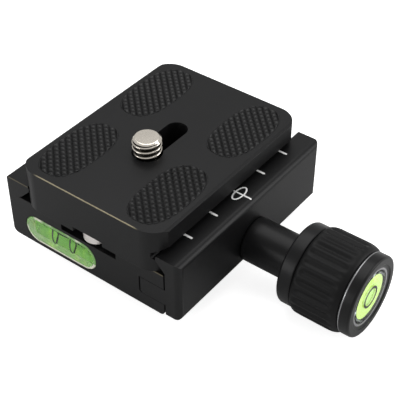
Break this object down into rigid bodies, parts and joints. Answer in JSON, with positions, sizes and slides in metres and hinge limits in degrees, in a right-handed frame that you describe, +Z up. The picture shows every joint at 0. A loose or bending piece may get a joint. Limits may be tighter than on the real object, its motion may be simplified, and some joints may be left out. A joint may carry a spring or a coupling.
{
  "type": "dovetail quick release clamp",
  "caption": "Black dovetail quick release clamp with a knob-driven jaw, tube and round levels, and a camera plate with rubber pads and a camera screw.",
  "frame": {"origin": "mouth of the tripod thread in the middle of the clamp's underside", "axes": "+Z up, out of the plate's top; +X across the dovetail towards the knob; Y along the channel, the tube level faces -Y"},
  "size_m": [0.0759, 0.0518, 0.0302],
  "materials": {
    "anodised": "satin black anodised, fine blast",
    "knob_metal": "satin black anodised, turned",
    "steel": "zinc plated",
    "nickel": "bright nickel",
    "dark_steel": "blued spring steel",
    "grip_rubber": "matte ribbed",
    "pad_rubber": "matte, diamond knurled",
    "clear": "clear acrylic",
    "level_fluid": "tinted liquid",
    "bullseye_green": "yellow green",
    "level_back": "pale green",
    "ring_black": "printed black"
  },
  "bodies": {
    "clamp": {"clamp_base": "anodised", "tripod_bushing": "steel", "level_body": "clear", "level_plug": "clear", "level_fluid": "level_fluid", "level_rings": "ring_black", "level_backing": "level_back"},
    "jaw": {"movable_jaw": "anodised"},
    "knob": {"knob_core": "knob_metal", "clamp_rod": "steel", "retaining_clip": "dark_steel", "knob_grip": "grip_rubber", "knob_cap": "knob_metal", "bullseye_lens": "clear", "bullseye_fluid": "level_fluid", "bullseye_backing": "bullseye_green"},
    "plate": {"camera_plate": "anodised", "pad_front_left": "pad_rubber", "pad_front_right": "pad_rubber", "pad_back_left": "pad_rubber", "pad_back_right": "pad_rubber", "stop_screws": "nickel"},
    "washer": {"screw_washer": "steel"},
    "screw": {"camera_screw": "nickel"}
  },
  "joints": [
    {"name": "jaw_slide", "type": "slide", "parent": "clamp", "child": "jaw", "axis": [1, 0, 0], "range_m": [0, 0.003]},
    {"name": "knob_turn", "type": "hinge", "parent": "jaw", "child": "knob", "pos_m": [0.04, 0, 0.0052], "axis": [1, 0, 0], "range_deg": [0, 1351]},
    {"name": "plate_slide", "type": "slide", "parent": "clamp", "child": "plate", "axis": [0, 1, 0], "range_m": [-0.0044, 0.0076]},
    {"name": "screw_slide", "type": "slide", "parent": "plate", "child": "washer", "axis": [0, 1, 0], "range_m": [0, 0.0098]},
    {"name": "screw_turn", "type": "hinge", "parent": "washer", "child": "screw", "pos_m": [0, -0.00655, 0.013], "axis": [0, 0, 1], "continuous": true}
  ],
  "couplings": [
    {"joint": "knob_turn", "follows": "jaw_slide", "rad_per_m": 7854}
  ]
}
